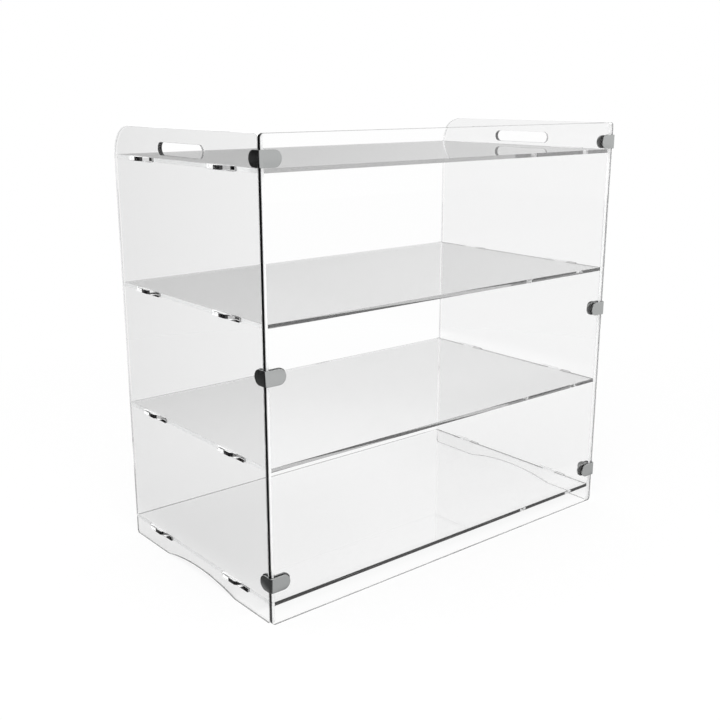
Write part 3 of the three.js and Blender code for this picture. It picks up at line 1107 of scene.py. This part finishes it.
@dataclass(frozen=True)
class CornerStrap:
    """A strap with full round ends, bent round an upright corner of the cabinet.

    It is drawn flat, as a strip with its height and the distance along it, and then bent.
    """

    near: Layer
    far: Layer
    bend: float
    front_end: float
    side_end: float
    height: float
    near_rim: float
    far_rim: float
    bores: tuple[Bore, ...] = ()

    BEND_STEPS = 16
    RIM_STEPS = 4

    @property
    def half_bend(self) -> float:
        """Half the length of strip that goes round the corner: an eighth of a circle."""
        return math.pi / 4 * (self.bend - self.near.face)

    def leg_along(self, distance: float, front: bool) -> float:
        """Place along the strip of a point on a leg, by its distance from the corner."""
        along = distance - self.bend + self.half_bend
        return -along if front else along

    def place(self, strip: np.ndarray, depth: float) -> np.ndarray:
        """Bends points of the flat strip round the corner.

        In the bend the angle grows evenly along the strip, and the distance from the bend's
        centre is a mix of both layers' curves, by depth. A curve's distance at an angle is the
        layer's distance over the root of the sum of the angle's cosine and sine, each raised
        to the layer's squareness.

        Args:
            strip: Rows of the distance along the strip and the height.
            depth: Distance below the near layer.

        Returns:
            Rows of the distance inwards, the distance backwards and the height.
        """
        along, half = strip[:, 0], self.half_bend
        angle = np.clip((along + half) / (2 * half), 0, 1) * math.pi / 2
        share = depth / (self.far.face - self.near.face)

        def reach(layer: Layer) -> np.ndarray:
            """Finds how far a layer lies from the bend's centre.

            Args:
                layer: The layer.

            Returns:
                Its distance at each point's angle.
            """
            power = layer.squareness
            spread = np.abs(np.cos(angle)) ** power + np.sin(angle) ** power
            return (self.bend - layer.face) / spread ** (1 / power)

        radius = (1 - share) * reach(self.near) + share * reach(self.far)
        inwards = self.bend - radius * np.sin(angle) + np.clip(-half - along, 0, None)
        backwards = self.bend - radius * np.cos(angle) + np.clip(along - half, 0, None)
        return np.stack([inwards, backwards, strip[:, 1]], axis=1)

    def lower_half(self, inset: float) -> tuple[np.ndarray, int, int]:
        """Draws the lower half of the strip's outline, from one tip to the other.

        Args:
            inset: How far it is moved in.

        Returns:
            The points, and the numbers of those where the bend starts and ends.
        """
        end = self.height / 2
        reach, half = end - inset, self.half_bend
        first, last = self.leg_along(self.front_end, True), self.leg_along(self.side_end, False)
        quarter = np.linspace(0, math.pi / 2, END_STEPS + 1)
        bend = np.linspace(-half, half, self.BEND_STEPS + 1)
        front = first + end - reach * np.cos(quarter)
        side = last - end + reach * np.sin(quarter)
        along = np.concatenate([front, bend, side])
        fall = [reach * np.sin(quarter), np.full(len(bend), reach), reach * np.cos(quarter)]
        start = len(front)
        points = np.stack([along, -np.concatenate(fall)], axis=1)
        points[[0, -1], 1] = 0.0
        return points, start, start + self.BEND_STEPS

    def ring(self, inset: float) -> np.ndarray:
        """The strip's whole outline, moved in by an inset."""
        lower, _, _ = self.lower_half(inset)
        return np.concatenate([lower, (lower * (1, -1))[-2:0:-1]])

    def cover(self, shell: Shell, inset: float, depth: float, near: bool) -> None:
        """Adds one face of the strap: two flat legs with their holes, and the bend.

        Args:
            shell: What it is added to.
            inset: How far its outline is moved in.
            depth: Distance below the near layer.
            near: True for the near face.
        """
        lower, start, end = self.lower_half(inset)
        ring = self.ring(inset)
        count = len(ring)
        front = np.concatenate([ring[count - start :], ring[: start + 1]])
        side = ring[end : count - end + 1]
        row = 0 if near else -1
        for leg, sign in ((front, -1), (side, 1)):
            holes = [
                circle((bore.along, 0.0), bore.rows[row if bore.through else 0][0])
                for bore in self.bores
                if bore.along * sign > 0 and (bore.through or not near)
            ]
            shell.flat([leg, *holes], lambda flat: self.place(flat, depth), Patch.FACE)
        bend = lower[start : end + 1]
        rows = [self.place(bend * (1, sign), depth) for sign in (1, -1)]
        shell.grid(np.stack(rows), False, Patch.FACE)

    def shell(self) -> Shell:
        """Makes both faces, the rounded rim between them, and the walls of holes and bosses.

        Returns:
            The closed surface.
        """
        made = Shell()
        sheet = self.far.face - self.near.face
        angle = np.linspace(0, math.pi / 2, self.RIM_STEPS + 1)
        rim = np.stack([1 - np.sin(angle), 1 - np.cos(angle)], axis=1)
        far = ((0, sheet) + self.far_rim * rim * (1, -1))[::-1]
        profile = np.concatenate([self.near_rim * rim, far])
        rows = [self.place(self.ring(inset), depth) for inset, depth in profile]
        made.grid(np.stack(rows), True, Patch.FACE)
        self.cover(made, self.near_rim, 0.0, True)
        self.cover(made, self.far_rim, sheet, False)
        for bore in self.bores:
            rows = [self.place(circle((bore.along, 0), size), depth) for size, depth in bore.rows]
            made.grid(np.stack(rows), True, Patch.FACE)
        return made


@dataclass(frozen=True)
class SocketScrew:
    """Button-head screw with a hexagon socket."""

    shank: float = 1.5
    tip: float = -8.2
    tip_chamfer: float = 0.5
    rim: float = 3.0
    rim_height: float = 0.5
    head_height: float = 1.9
    rim_break: float = 0.12
    socket: float = 1.15
    socket_depth: float = 1.1
    mouth_share: float = 1.06
    mouth_depth: float = 0.07
    point_depth: float = 0.25
    dome_steps: int = 10

    def surface(self) -> np.ndarray:
        """Rings round the axis, from the tip to the socket's floor.

        A ring's radius is the same all round, apart from the socket's, which is a hexagon's: its
        corner radius times the cosine of 30 degrees, over the cosine of the angle from the
        middle of the nearest side. The dome is a quadratic curve with its corner at the rim.

        Returns:
            Array of rings, angles and two cross coordinates and the distance along the axis.
        """
        t = np.linspace(0, 1, self.dome_steps + 1)
        dome = np.stack(
            [
                self.rim * ((1 - t) ** 2 + 2 * t * (1 - t)) + self.shank * t**2,
                self.rim_height * (1 - t) ** 2 + self.head_height * (2 * t * (1 - t) + t**2),
            ],
            axis=1,
        )
        low = [
            (0.0, self.tip),
            (self.shank - self.tip_chamfer, self.tip),
            (self.shank, self.tip + self.tip_chamfer),
            (self.shank, 0.0),
            (self.rim - self.rim_break, 0.0),
            (self.rim, self.rim_break),
        ]
        profile = np.concatenate([low, dome])
        angle = np.arange(CIRCLE_SIDES) * 2 * math.pi / CIRCLE_SIDES
        sector = math.pi / 3
        flat = self.socket * math.cos(sector / 2)
        hexagon = flat / np.cos(np.mod(angle, sector) - sector / 2)
        round_rings = profile[:, :1] * np.ones(CIRCLE_SIDES)
        floor = self.head_height - self.socket_depth
        hex_rings = np.outer((self.mouth_share, 1.0, 1.0, 0.0), hexagon)
        radius = np.concatenate([round_rings, hex_rings])
        mouth = self.head_height - self.mouth_depth
        high = (self.head_height, mouth, floor, floor - self.point_depth)
        height = np.concatenate([profile[:, 1], high])[:, None] * np.ones(CIRCLE_SIDES)
        return np.stack([radius * np.cos(angle), radius * np.sin(angle), height], axis=-1)


@dataclass(frozen=True)
class CornerClamp:
    """One corner clamp: an outer and an inner angle, their pads, and two screws."""

    side: Side
    level: str
    height: float = 19.0
    inner_step: float = 0.75
    front_leg: float = 25.5
    side_leg: float = 20.2
    inner_reach: float = 3.4
    outer_bend: float = 1.3
    inner_bend: float = 10.6
    outer_faces: Span = (-2.7, -0.7)
    outer_pad_faces: Span = (-0.6, -0.1)
    inner_pad_faces: Span = (6.1, 6.6)
    inner_faces: Span = (6.7, 9.1)
    outer_rims: Span = (0.55, 0.2)
    pad_rims: Span = (0.1, 0.1)
    inner_rims: Span = (0.3, 0.5)
    screw_seat: float = 9.2
    boss_end: float = 5.5
    boss_break: float = 0.25
    bore_floor: float = 0.5
    bore_point: float = 0.3
    screw_hole: float = 1.8
    square: float = 24.0

    def place(self, points: np.ndarray) -> np.ndarray:
        """Carries points from the clamp's axes into the cabinet.

        Args:
            points: Points, by their distances inwards, backwards and up.

        Returns:
            The points in the cabinet.
        """
        sign = self.side.value
        x = sign * (WIDTH / 2 - points[..., 0])
        y = FRONT_FACE_Y + points[..., 1]
        z = CLAMP_LEVELS[self.level] + points[..., 2]
        return np.stack([x, y, z], axis=-1)

    def strap(
        self,
        faces: Span,
        squares: Span,
        rims: Span,
        hole: Callable[[float], Bore],
    ) -> CornerStrap:
        """One bent layer of the clamp.

        Args:
            faces: Where its two faces lie, from the panels' outer faces.
            squares: How square each of them bends.
            rims: Radius of the rounding along each face's rim.
            hole: Makes the hole or boss at a place along the strip.

        Returns:
            The strap, with its holes.
        """
        inner = faces[0] > 0
        reach, step = (self.inner_reach, self.inner_step) if inner else (0.0, 0.0)
        plain = CornerStrap(
            near=Layer(faces[0], squares[0]),
            far=Layer(faces[1], squares[1]),
            bend=self.inner_bend if inner else self.outer_bend,
            front_end=self.front_leg + reach,
            side_end=self.side_leg + reach,
            height=self.height - 2 * step,
            near_rim=rims[0],
            far_rim=rims[1],
        )
        places = plain.leg_along(FRONT_BOSS, True), plain.leg_along(SIDE_BOSS, False)
        return replace(plain, bores=tuple(hole(along) for along in places))

    def boss(self, along: float) -> Bore:
        """Makes a boss on the outer angle's inner face, with a blind bore for the screw.

        Args:
            along: Its place along the strip.

        Returns:
            The boss.
        """
        start, floor = self.outer_faces[0], self.bore_floor
        end, size, bore = self.boss_end, self.boss_break, self.screw_hole
        rows = (
            (BOSS_RADIUS, self.outer_faces[1]),
            (BOSS_RADIUS, end - size),
            (BOSS_RADIUS - size, end),
            (bore + size, end),
            (bore, end - size),
            (bore, floor),
            (0.0, floor - self.bore_point),
        )
        return Bore(along, tuple((size, depth - start) for size, depth in rows), False)

    def hole(self, radius: float, faces: Span) -> Callable[[float], Bore]:
        """Maker of holes of one radius right through a layer, between its faces."""
        sheet = faces[1] - faces[0]
        return lambda along: Bore(along, ((radius, 0.0), (radius, sheet)), True)

    def layers(self) -> dict[str, CornerStrap]:
        """Makes the clamp's four bent pieces, from outside to inside.

        Returns:
            The pieces by name.
        """
        outer, inner = self.outer_pad_faces, self.inner_pad_faces
        square, radius = self.square, self.screw_hole
        boss_hole, hole = self.hole(BOSS_HOLE_RADIUS, outer), self.hole(radius, inner)
        last_hole = self.hole(radius, self.inner_faces)
        return {
            "outer_angle": self.strap(
                self.outer_faces, (ROUND, square), self.outer_rims, self.boss
            ),
            "outer_pad": self.strap(outer, (square, square), self.pad_rims, boss_hole),
            "inner_pad": self.strap(inner, (square, square), self.pad_rims, hole),
            "inner_angle": self.strap(
                self.inner_faces, (square, ROUND), self.inner_rims, last_hole
            ),
        }

    def screw(self, front: bool) -> Shell:
        """Makes one of the two screws, put in from inside the cabinet.

        Args:
            front: True for the one through the front panel.

        Returns:
            The closed surface.
        """
        rings = SocketScrew().surface()
        out = self.screw_seat + rings[..., 2]
        if front:
            points = [FRONT_BOSS + rings[..., 0], out, rings[..., 1]]
        else:
            points = [out, SIDE_BOSS + rings[..., 0], rings[..., 1]]
        made = Shell()
        made.grid(self.place(np.stack(points, axis=-1)), True, Patch.FACE)
        return made

    def build(self, finishes: Finishes) -> list[bpy.types.Object]:
        """Makes the six pieces in place of their CAD nodes.

        Args:
            finishes: The cabinet's materials.

        Returns:
            The pieces.
        """
        prefix = f"clamp_{self.side.word}_{self.level}"
        made = []
        for layer, strap in self.layers().items():
            shell = strap.shell()
            shell.points = [self.place(points / MM) * MM for points in shell.points]
            pad = layer.endswith("pad")
            finish = finishes.pad_rubber if pad else finishes.clamp_metal
            piece = shell.build(f"satin_{prefix}_{layer}", [finish])
            made.append(stand_for(piece, (f"{prefix}_{layer}",), "cabinet"))
        for front in (True, False):
            name = f"{prefix}_{'front' if front else 'side'}_screw"
            piece = self.screw(front).build(f"steel_{name}", [finishes.screw_steel])
            made.append(stand_for(piece, (name,), "cabinet"))
        return made


def stand_for(
    piece: bpy.types.Object, nodes: tuple[str, ...], body: str
) -> bpy.types.Object:
    """Puts a piece on its body, in place of its CAD nodes.

    Args:
        piece: The piece.
        nodes: The names of the nodes that it stands for.
        body: The body that it rides on.

    Returns:
        The piece.
    """
    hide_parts(*nodes)
    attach(piece, body)
    return piece


# Studio


@dataclass(frozen=True)
class Room:
    """The room that the sheets and the clamps mirror, by the direction in which they see it.

    It is pale in front and above, and darker on the left and low behind. A field named for an
    axis is the span of that direction over which a tone changes. The other numbers are shares of
    light that are lost, or for a gain, given back.
    """

    white: float = 0.99
    left_x: Span = (0.05, 0.45)
    left_y: Span = (-0.3, 0.3)
    left_loss: float = 0.98
    behind_y: Span = (0.0, 0.5)
    behind_loss: float = 0.435
    corner_x: Span = (0.48, 0.56)
    corner_loss: float = 0.03
    raised_z: Span = (0.16, 0.26)
    raised_loss: float = 0.05
    right_x: Span = (0.5, 0.8)
    right_gain: float = 0.165
    raised_right_gain: float = 0.03
    high_z: Span = (0.28, 0.38)
    high_gain: float = 0.28
    high_right_x: Span = (0.5, 0.62)
    high_right_gain: float = 0.18
    inner_z: Span = (0.06, 0.18)
    inner_loss: float = 0.5
    raised_inner_loss: float = 0.47

    def tone(self, sheet: NodeSheet) -> Value:
        """Works out how bright the room is.

        What is seen after a reflection or two is the room itself. After more, inside a sheet, it
        is the light that leaves by the sheet's far edge, which is darker the higher it goes.

        Args:
            sheet: The world's nodes.

        Returns:
            The brightness.
        """
        x, y, z = sheet.axes("Generated")
        left = (0.0 - x).rise(*self.left_x) * y.rise(*self.left_y)
        behind = y.rise(*self.behind_y)
        raised = z.rise(*self.raised_z)
        fall = self.right_gain - self.raised_right_gain
        right = x.rise(*self.right_x) * (self.right_gain - fall * raised)
        high_gain = self.high_gain + self.high_right_gain * x.rise(*self.high_right_x)
        high = z.rise(*self.high_z) * high_gain
        corner = self.corner_loss * x.rise(*self.corner_x)
        loss = self.behind_loss + corner + self.raised_loss * raised - high - right
        outer = self.white * (1.0 - self.left_loss * left) * (1.0 - behind * loss)
        inner_loss = self.inner_loss + self.raised_inner_loss * z.rise(*self.inner_z)
        inner = 1.0 - behind * inner_loss
        return outer + sheet.met("Glossy", 2) * (inner - outer)


@dataclass(frozen=True)
class CounterTop:
    """The floor under the cabinet, in metres. It shows white, with a faint shadow.

    In reflections it has tones of its own, as the room has, and a painted shadow under the
    cabinet and just in front of it: a field named for an axis is the span of that axis over
    which a tone changes, and a pair of spans is where it rises and falls.
    """

    reach: float = 4.0
    drop: float = 0.0002
    white: float = 0.98
    front_y: Band = ((-0.75, -0.4), (-0.2, -0.1))
    front_loss: float = 0.19
    # A band of painted shadow just in front of the cabinet, in reflections.
    close_y: Band = ((-0.225, -0.212), (-0.202, -0.18))
    painted_close_shadow: float = 0.4
    right_x: Span = (0.85, 1.0)
    right_loss: float = 0.075
    # Painted shadow under the cabinet, in reflections.
    under_x: Band = ((-0.35, -0.3), (0.3, 0.35))
    under_y: Band = ((-0.1, -0.04), (0.25, 0.45))
    painted_under_shadow: float = 0.6
    left_x: Span = (0.28, 0.36)
    left_y: Span = (-0.6, -0.4)
    left_white: float = 0.08
    left_fade_x: Span = (0.3, 1.5)
    inner_white: float = 0.97
    behind_y: Span = (0.16, 0.18)
    behind_loss: float = 0.42
    just_behind_y: Span = (0.3, 0.5)
    just_behind_loss: float = 0.56
    shadow_share: float = 0.14
    far_squared: Span = (0.4, 1.6)
    bare_y: Band = ((-0.18, -0.165), (-0.133, -0.121))
    grain_scale: float = 60.0
    grain_detail: float = 4.0
    pale: Triple = (0.93, 0.93, 0.93)
    paler: Triple = (0.95, 0.95, 0.95)

    def own_light(self, sheet: NodeSheet, x: Value, y: Value) -> Value:
        """Works out how bright the floor is by itself: plain white, or its tone in reflections.

        Args:
            sheet: The floor's nodes.
            x: Place to the right.
            y: Place to the rear.

        Returns:
            The brightness.
        """
        left = (0.0 - x).rise(*self.left_x) * y.rise(*self.left_y)
        # Painted shadow, seen only in reflections: darker under the cabinet and just in front of
        # it.
        under = x.band(*self.under_x) * y.band(*self.under_y)
        front = self.front_loss * y.band(*self.front_y) + self.painted_close_shadow * y.band(*self.close_y)
        loss = front + self.right_loss * x.rise(*self.right_x) + self.painted_under_shadow * under
        plain = self.white - loss
        dim = self.left_white - self.left_white * (0.0 - x).rise(*self.left_fade_x)
        mirrored = plain + left * (dim - plain)
        just_behind = self.just_behind_loss * (1.0 - y.rise(*self.just_behind_y))
        behind = y.rise(*self.behind_y) * (self.behind_loss + just_behind)
        inner = self.inner_white * (1.0 - behind)
        own = 1.0 - sheet.met("Glossy", 0) * (1.0 - mirrored)
        return own + sheet.met("Glossy", 2) * (inner - own)

    def finish(self) -> bpy.types.Material:
        """Makes the pale matt finish.

        Most of its white is its own where it is seen, so that the shadow stays faint. All of it
        is in reflections, far from the cabinet and in the strip that shows under its front: there
        that own white is painted light, which paints the shadow out.

        Returns:
            The material.
        """
        made = bpy.data.materials.new("pale_floor")
        sheet = NodeSheet(made)
        x, y, _ = sheet.axes("Object")
        straight = 1.0 - sheet.met("Diffuse", 0)
        far = (x * x + y * y).rise(*self.far_squared)
        # Painted light: in the strip seen under the front, the floor is all its own white, so no
        # shadow shows there.
        painted_out_shadow = x.band(*self.under_x) * y.band(*self.bare_y)
        shadow = self.shadow_share * (1.0 - sheet.met("Glossy", 0)) * (1.0 - far) * (1.0 - painted_out_shadow)
        grain = sheet.noise(self.grain_scale, self.grain_detail)
        colour = {"Color": sheet.blend(grain, self.pale, self.paler)}
        matt = sheet.node("ShaderNodeBsdfDiffuse", None, colour)
        # The floor's white is emitted, and carries its painted shadow in reflections.
        light = {"Color": WHITE, "Strength": self.own_light(sheet, x, y)}
        glow = sheet.node("ShaderNodeEmission", None, light)
        mixed = {0: straight * (1.0 - shadow), 1: matt.outputs[0], 2: glow.outputs[0]}
        surface = sheet.node("ShaderNodeMixShader", None, mixed)
        sheet.node("ShaderNodeOutputMaterial", None, {"Surface": surface.outputs[0]})
        return made

    def build(self) -> None:
        """Makes the floor: a level grid of three by three points."""
        line = np.linspace(-self.reach, self.reach, 3)
        x, y = np.meshgrid(line, line)
        points = np.stack([x, y, np.full_like(x, -self.drop)], axis=-1)
        mesh = bpy.data.meshes.new("counter_top")
        mesh.from_pydata(points.reshape(-1, 3).tolist(), [], grid_faces(*x.shape).tolist())
        made = bpy.data.objects.new("counter_top", mesh)
        bpy.context.scene.collection.objects.link(made)
        mesh.materials.append(self.finish())


@dataclass(frozen=True)
class Studio:
    """Soft light and the camera, with the floor and the room, in metres and degrees.

    The background is plain white, seen directly or through clear sheet.
    """

    room: Room = Room()
    counter_top: CounterTop = CounterTop()
    camera_place: Triple = (-0.89597, -1.05496, 0.61513)
    camera_yaw: float = 39.535
    camera_pitch: float = 15.0855
    lens: float = 49.745
    sensor: float = 36.0
    ambient: float = 0.8
    lamp_power: float = 42.0
    lamp_size: float = 1.6
    lamp_place: Triple = (-1.1, -1.3, 2.4)
    bounces: int = 44
    diffuse_bounces: int = 3
    transparent_bounces: int = 48

    def camera(self) -> None:
        """Makes the scene's camera."""
        lens = bpy.data.cameras.new("camera")
        lens.lens, lens.sensor_width = self.lens, self.sensor
        made = bpy.data.objects.new("camera", lens)
        made.location = self.camera_place
        tilt, yaw = math.radians(90 - self.camera_pitch), math.radians(-self.camera_yaw)
        made.rotation_euler = (tilt, 0.0, yaw)
        bpy.context.scene.collection.objects.link(made)
        bpy.context.scene.camera = made

    def surroundings(self) -> None:
        """Sets the world: plain light, white where seen, and the room in reflections."""
        world = bpy.data.worlds.new("studio")
        bpy.context.scene.world = world
        world.cycles.sampling_method = "NONE"
        sheet = NodeSheet(world)
        scattered, mirrored = sheet.met("Diffuse", 0), sheet.met("Glossy", 0)
        seen = 1.0 - mirrored * (1.0 - self.room.tone(sheet))
        tone = scattered * self.ambient + (1.0 - scattered) * seen
        light = sheet.node("ShaderNodeBackground", None, {"Color": WHITE, "Strength": tone})
        sheet.node("ShaderNodeOutputWorld", None, {"Surface": light.outputs[0]})

    def lamp(self) -> None:
        """Makes the large soft lamp above, in front and to the left, turned to the cabinet."""
        light = bpy.data.lights.new("soft_lamp", "AREA")
        light.shape, light.size, light.energy = "DISK", self.lamp_size, self.lamp_power
        made = bpy.data.objects.new("soft_lamp", light)
        made.location = self.lamp_place
        aim = -np.array(self.lamp_place)
        level = math.hypot(aim[0], aim[1])
        made.rotation_euler = (math.atan2(level, -aim[2]), 0.0, math.atan2(-aim[0], aim[1]))
        made.visible_glossy = False
        made.visible_transmission = False
        bpy.context.scene.collection.objects.link(made)

    def light_paths(self) -> None:
        """Lets light through many sheets, and along inside a sheet, before it is given up."""
        cycles = bpy.context.scene.cycles
        cycles.max_bounces = self.bounces
        cycles.transmission_bounces = self.bounces
        cycles.glossy_bounces = self.bounces
        cycles.diffuse_bounces = self.diffuse_bounces
        cycles.transparent_max_bounces = self.transparent_bounces
        bpy.context.scene.view_settings.view_transform = "Standard"

    def build(self) -> None:
        """Makes the whole studio."""
        self.camera()
        self.surroundings()
        self.counter_top.build()
        self.lamp()
        self.light_paths()


def main() -> None:
    """Builds the studio, then every sub-assembly in order, and reports each piece."""
    logging.basicConfig(level=logging.INFO, format="%(name)s: %(message)s")
    Studio().build()
    finishes = Finishes.make()
    pieces = [FrontPanel().build(finishes)]
    pieces += [SidePanel(side).build(finishes) for side in Side]
    pieces += [Shelf(name).build(finishes) for name in SHELF_TOPS]
    for side in Side:
        for level in CLAMP_LEVELS:
            pieces += CornerClamp(side, level).build(finishes)
    for piece in pieces:
        LOG.info("%s: %d faces", piece.name, len(piece.data.polygons))


if __name__ == "__main__":
    main()
